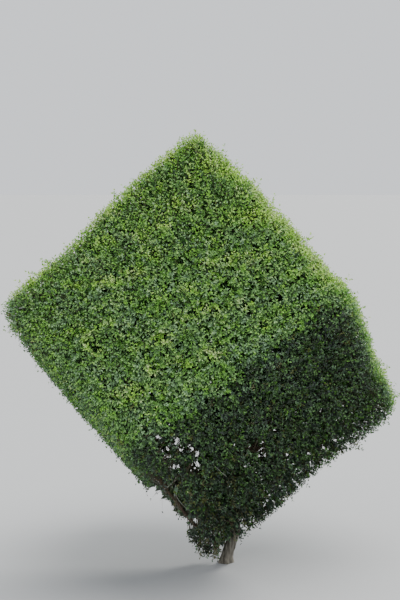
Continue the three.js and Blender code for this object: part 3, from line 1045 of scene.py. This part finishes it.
def leaf_arrays(leaves, shape):
    """Leaves of one shape, as vertices and four-sided faces."""
    bases = leaves.places
    axes = leaves.axes
    side = unit(np.cross(axes, leaves.facings))
    above = np.cross(side, axes)
    length = leaves.lengths[:, None]
    width = length * shape["width"]
    fold = above * width * shape["fold"]

    def rim(along, out):
        return bases + axes * length * along + side * width * out + fold * abs(out) * 2

    tip = bases + axes * length - above * length * shape["drop"]
    one_half = [rim(along, out) for along, out in shape["rim"]]
    other_half = [rim(along, -out) for along, out in reversed(shape["rim"])]
    vertices = np.stack([bases, *one_half, tip, *other_half], axis=1)
    first = np.arange(len(bases))[:, None, None] * vertices.shape[1]
    return vertices.reshape(-1, 3), (first + np.array(shape["faces"])).reshape(-1, 4)


class Leaves(NamedTuple):
    """Leaves by their foot, their way, the way their upper side faces, length and tone."""

    places: np.ndarray
    axes: np.ndarray
    facings: np.ndarray
    lengths: np.ndarray
    tones: np.ndarray

    def part(self, keep):
        return Leaves(*(column[keep] for column in self))

    def thinned(self, rng):
        """The leaves without most of those in opened places and all before the trunk."""
        middles = self.places + self.axes * self.lengths[:, None] / 2
        gone = opened(middles) & (rng.random(len(middles)) > OPENED_KEPT)
        gone |= before_trunk(middles)
        return self.part(~gone & (middles[:, 2] > LOWEST))


def pair_of_leaves(face, shoots, turn, pair, size, tones, rng):
    """The opposite pair of leaves at one joint of each shoot."""
    count = len(shoots.bases)
    along = unit(shoots.tips - shoots.bases)
    first = across_of(along)
    second = np.cross(along, first)
    length = lengths_of(shoots.tips - shoots.bases)
    share = LOWEST_JOINT + JOINTS_SHARE * pair / (LEAF_PAIRS - 1)
    scale = size * (LOW_LEAF_SHARE - HIGH_LEAF_LOSS * share ** 3)
    usual_opening = LEAF_OPENING - LEAF_OPENING_LOSS * share
    columns = []
    for half_turn in (0, math.pi):
        angle = turn + pair * math.pi / 2 + half_turn + rng.normal(0, LEAF_TURN_SPREAD, count)
        out = first * np.cos(angle)[:, None] + second * np.sin(angle)[:, None]
        opening = np.radians(usual_opening + rng.normal(0, LEAF_OPENING_SPREAD, count))[:, None]
        axes = unit(along * np.cos(opening) + out * np.sin(opening))
        facings = along * np.sin(opening) - out * np.cos(opening)
        roll = rng.normal(0, LEAF_ROLL_SPREAD, count)[:, None]
        facings = unit(facings + np.cross(axes, facings) * roll)
        lengths = scale * rng.uniform(*LEAF_LENGTH_SHARES, count)
        foot = length * share + rng.normal(0, LEAF_FOOT_SPREAD, count)
        places = shoots.bases + along * foot[:, None]
        leaf_tones = np.rint(tones + rng.normal(0, face.mass["leaf_tone"], count))
        columns.append((places, axes, facings, lengths, np.clip(leaf_tones, 0, DARKEST)))
    return Leaves(*(np.concatenate(column) for column in zip(*columns)))


def old_leaves(face, paths, rng):
    """Larger leaves standing round the branchlets, under the shoots."""
    lot = np.repeat(np.arange(len(paths)), face.mass["old"])
    count = len(lot)
    wood = along_paths(paths[lot], rng.uniform(0.0, 1.0, count))
    away = unit(rng.normal(size=(count, 3)))
    places = wood + away * rng.uniform(OLD_LEAF_NEAREST, 1, count)[:, None] * OLD_LEAF_REACH
    out = outward(face, places)
    axes = unit(away + OLD_LEAF_LIFT * out + OLD_LEAF_SPREAD * rng.normal(size=away.shape))
    facings = unit(out + OLD_LEAF_TILT * rng.normal(size=away.shape))
    lengths = OLD_LEAF_LENGTH * rng.uniform(*OLD_LEAF_LENGTH_SHARES, count)
    tones = rng.choice(face.mass["old_tones"], count) * len(LEAF_KINDS)
    tones += leaf_kinds(places, rng)
    leaves = Leaves(places, axes, facings, lengths, tones)
    inside = depth_of(places - CROWN_CENTRE) + swelling(places) > OLD_LEAF_DEPTH
    return leaves.part(inside & ~near_wood(places, OLD_LEAF_CLEARANCE))


def facing(normals, side, start, steepness):
    """How far surfaces face a side, from 0 at the starting share of facing up to 1."""
    return np.clip((normals @ unit(side) - start) * steepness, 0, 1)


def into_band(points, band):
    """How far points lie on the way from a band's first height to its last, from 0 to 1."""
    return np.clip((points[:, 2] - band[0]) / (band[1] - band[0]), 0, 1)


def shoot_tones(face, shoots, rng):
    """A place on the scale of leaf tones for each shoot, with painted light and shade: light where
    the sky lights the clipped surface, darker where it lies in shade.
    """
    tips = shoots.tips
    normals = surface_normals(tips)
    exposure = normals @ unit(SKY_SIDE) + waves(tips, BORDER_WAVES)
    tone = np.interp(exposure, TONE_EXPOSURES, TONES_THERE)
    tone += SUNNY_TONE * facing(normals, *SUNNY_SIDE)
    sideways = facing(normals, *OPEN_SIDE)
    sideways *= into_band(tips, OPEN_BAND)
    tone += sideways * np.minimum(OPEN_TONE - tone, 0)
    tone += HIGH_TONE * into_band(tips, HIGH_BAND)
    tone += np.clip(shoots.depth, 0, DEEPEST_SHADE) * DEEP_TONE
    tone += LOW_TONE * into_band(tips, LOW_BAND)
    tone += waves(tips, TUFT_TONES) + waves(tips, BROAD_TONES)
    return tone + rng.normal(0, 1, len(tone)) * face.mass["tone"]


def leaf_kinds(points, rng):
    """The kind of each spray of leaves: more vivid near the top, greyer near the ground."""
    kind = rng.normal(0, KIND_SPREAD, len(points))
    kind += waves(points, TUFT_KINDS) + waves(points, BROAD_KINDS)
    kind -= HIGH_VIVID * into_band(points, HIGH_BAND)
    kind += LOW_GREY * into_band(points, LOW_BAND)
    return np.digitize(kind, KIND_BORDERS)


def shoot_leaves(face, shoots, turn, size, rng):
    """The leaves of each joint of the shoots, lowest joint first."""
    tone = shoot_tones(face, shoots, rng)
    olive_share = face.mass["olive"] + LOW_OLIVE_SHARE * into_band(shoots.tips, LOW_BAND)
    olive = np.tile(rng.random(len(tone)) < olive_share, 2)
    kinds = np.tile(leaf_kinds(shoots.tips, rng), 2)
    joints = []
    for pair in range(LEAF_PAIRS):
        shift = np.interp(pair, (0, LEAF_PAIRS - 1), JOINT_TONES)
        leaves = pair_of_leaves(face, shoots, turn, pair, size, tone + shift, rng)
        tones = np.where(olive, OLIVE, leaves.tones) * len(LEAF_KINDS) + kinds
        joints.append(leaves._replace(tones=tones).thinned(rng))
    return joints


def leaves_piece(face, groups, turns, branchlets, rng):
    """All leaves of a mass: folded ones on the outer joints and flat ones under them."""
    outer = shoot_leaves(face, groups[0], turns[0], LEAF_LENGTH, rng)
    inner = shoot_leaves(face, groups[1], turns[1], LEAF_LENGTH * INNER_LEAF_SHARE, rng)
    old = old_leaves(face, branchlets, rng).thinned(rng)
    folded = outer[SHADED_JOINTS:]
    flat = outer[:SHADED_JOINTS] + inner
    parts = [leaf_arrays(leaves, FOLDED_LEAF) for leaves in folded]
    parts += [leaf_arrays(leaves, FLAT_LEAF) for leaves in flat]
    parts.append(leaf_arrays(old, OLD_LEAF))
    tones = [np.repeat(leaves.tones, 2) for leaves in folded]
    tones += [leaves.tones for leaves in (*flat, old)]
    vertices, quads = joined_arrays(parts)
    return mesh_object("leaves_" + face.name, vertices, quads, leaf_materials, np.hstack(tones))


def wood_piece(face, branches, branchlets, rng):
    """The stem, branches and branchlets of a mass, and its paler bare twigs."""
    limb = LIMBS[face.name]
    dark = [
        limb.tube(limb.tip, None, STEM_SIDES),
        tube_arrays(*branches, BRANCH_SIDES),
        tube_arrays(*branchlets, BRANCHLET_SIDES),
    ]
    pale = [tube_arrays(*grow_bare_twigs(face, branchlets[0], rng), BARE_TWIG_SIDES)]
    if face.name == "lower_left":
        pale.append(tube_arrays(*forked_twigs(), BARE_TWIG_SIDES))
    vertices, quads = joined_arrays(dark + pale)
    barks = np.repeat((0, 1), [sum(len(part[1]) for part in wood) for wood in (dark, pale)])
    name = "branches_" + face.name
    return mesh_object(name, vertices, quads, [twig_bark, pale_bark], barks, smooth=True)


def twigs_piece(face, groups):
    """The stems of the leafy shoots."""
    bases, tips, _ = (np.concatenate(column) for column in zip(*groups))
    vertices, triangles = spike_arrays(bases, tips, SHOOT_RADIUS)
    return mesh_object("twigs_" + face.name, vertices, triangles, [shoot_bark])


def mass_pieces(face, rng):
    """The wood, the twigs and the leaves of the mass behind a face."""
    branches = grow_branches(face, rng)
    branchlets = grow_branchlets(face, branches[0], rng)
    groups = [grow_shoots(face, branchlets[0], inner, rng) for inner in (False, True)]
    turns = [rng.uniform(0, 2 * math.pi, len(group.bases)) for group in groups]
    wood = wood_piece(face, branches, branchlets, rng)
    twigs = twigs_piece(face, groups)
    return wood, twigs, leaves_piece(face, groups, turns, branchlets[0], rng)


trunk = trunk_piece()
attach(trunk, "root")
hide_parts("trunk")
for number, face in enumerate(faces):
    rng = np.random.default_rng(SEED + number)
    bough = limb_piece(face)
    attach(bough, "root")
    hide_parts("bough_" + face.name)
    for piece in mass_pieces(face, rng):
        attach(piece, "root")
        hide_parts("foliage_" + face.name)


# Stage, light and camera

FLOOR_REACH = 400
FLOOR_COLOUR = (0.366, 0.374, 0.386)


def floor_piece():
    corners = FLOOR_REACH * np.array([(-1, -1, 0), (1, -1, 0), (1, 1, 0), (-1, 1, 0)])
    pale = plain_material("floor", FLOOR_COLOUR, roughness=0.9, specular=0.1)
    floor = mesh_object("floor", corners, np.arange(4)[None], [pale])


def soft_sun(name, towards, strength, spread, colour):
    """A broad distant light that shines from the given side."""
    data = bpy.data.lights.new(name, "SUN")
    data.energy = strength
    data.angle = math.radians(spread)
    data.color = colour
    x, y, z = towards
    lamp = placed(name, data)
    lamp.rotation_euler = (math.atan2(math.hypot(x, y), z), 0, math.atan2(x, -y))


def world_light(colour, strength):
    world = bpy.data.worlds.new("sky")
    world.use_nodes = True
    background = world.node_tree.nodes["Background"]
    background.inputs["Color"].default_value = (*colour, 1)
    background.inputs["Strength"].default_value = strength
    bpy.context.scene.world = world


def photo_camera():
    data = bpy.data.cameras.new("camera")
    data.sensor_width = SENSOR_WIDTH
    data.lens = LENS
    data.clip_end = 1000
    camera = placed("camera", data)
    camera.location = VIEWER
    camera.rotation_euler = (math.radians(90 - VIEW_PITCH), 0, 0)
    bpy.context.scene.camera = camera


floor_piece()
world_light(colour=(0.93, 0.96, 1.0), strength=1.05)
soft_sun("key", (0.22, -0.22, 0.95), strength=3.5, spread=50, colour=(1.0, 0.98, 0.93))
soft_sun("rim", (0.50, 0.78, 0.50), strength=3.8, spread=20, colour=(1.0, 0.99, 0.92))
soft_sun("side", (-0.90, -0.30, 0.15), strength=0.8, spread=60, colour=(0.95, 0.98, 1.0))
photo_camera()
